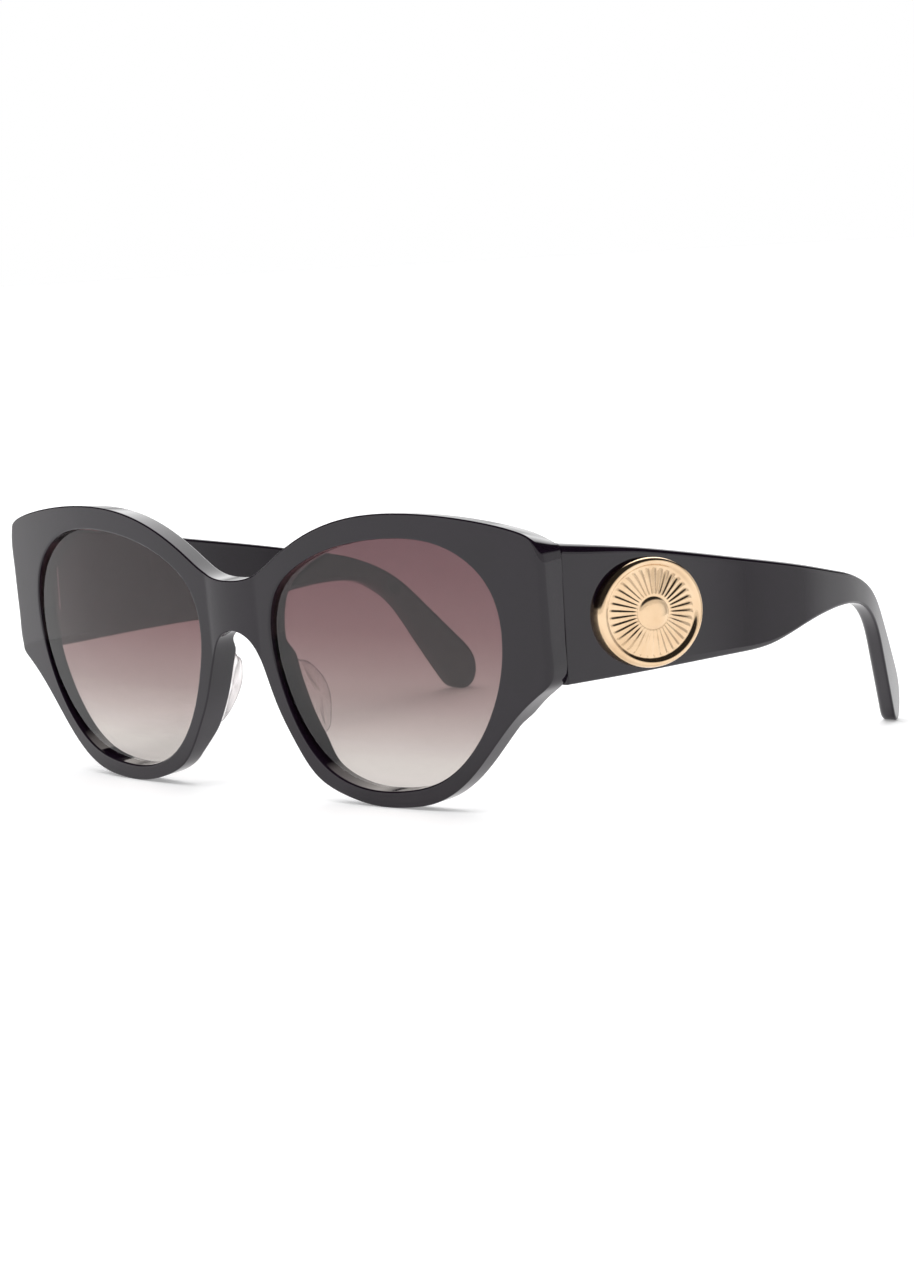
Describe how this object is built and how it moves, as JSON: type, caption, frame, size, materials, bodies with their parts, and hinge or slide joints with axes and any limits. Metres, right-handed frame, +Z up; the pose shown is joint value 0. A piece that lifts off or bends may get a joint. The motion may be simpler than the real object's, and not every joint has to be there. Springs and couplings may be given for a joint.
{
  "type": "cat eye sunglasses",
  "caption": "Cat eye sunglasses with a thick black acetate front, gradient lenses, clear nose pads and wide folding temples with a gold plaque.",
  "frame": {"origin": "centre of the bounding box seen from above, on the surface the glasses stand on: the rim bottoms and the temple tips at z = 0", "axes": "+Z up, -Y the way the wearer looks, +X the wearer's left, along the width of the front"},
  "size_m": [0.155, 0.129, 0.0544],
  "materials": {
    "acetate": "polished",
    "lens": "polished, tint fading from the top to nearly clear at the bottom",
    "clear_pad": "clear moulded plastic",
    "hinge_steel": "satin",
    "core_wire": "satin",
    "gold": "polished pale gold plating"
  },
  "bodies": {
    "front": {"front_frame": "acetate", "lens_left": "lens", "lens_right": "lens", "nose_pad_left": "clear_pad", "nose_pad_right": "clear_pad", "front_hinge_left": "hinge_steel", "front_hinge_right": "hinge_steel", "hinge_screw_left": "hinge_steel", "hinge_screw_right": "hinge_steel"},
    "temple_arm_left": {"temple_left": "acetate", "core_wire_left": "core_wire", "temple_hinge_left": "hinge_steel", "plaque_left": "gold"},
    "temple_arm_right": {"temple_right": "acetate", "core_wire_right": "core_wire", "temple_hinge_right": "hinge_steel", "plaque_right": "gold"}
  },
  "joints": [
    {"name": "temple_left_fold", "type": "hinge", "parent": "front", "child": "temple_arm_left", "pos_m": [0.0664, -0.05156, 0.03587], "axis": [0, 0, 1], "range_deg": [0, 86]},
    {"name": "temple_right_fold", "type": "hinge", "parent": "front", "child": "temple_arm_right", "pos_m": [-0.0664, -0.05156, 0.03587], "axis": [0, 0, -1], "range_deg": [0, 80]}
  ]
}
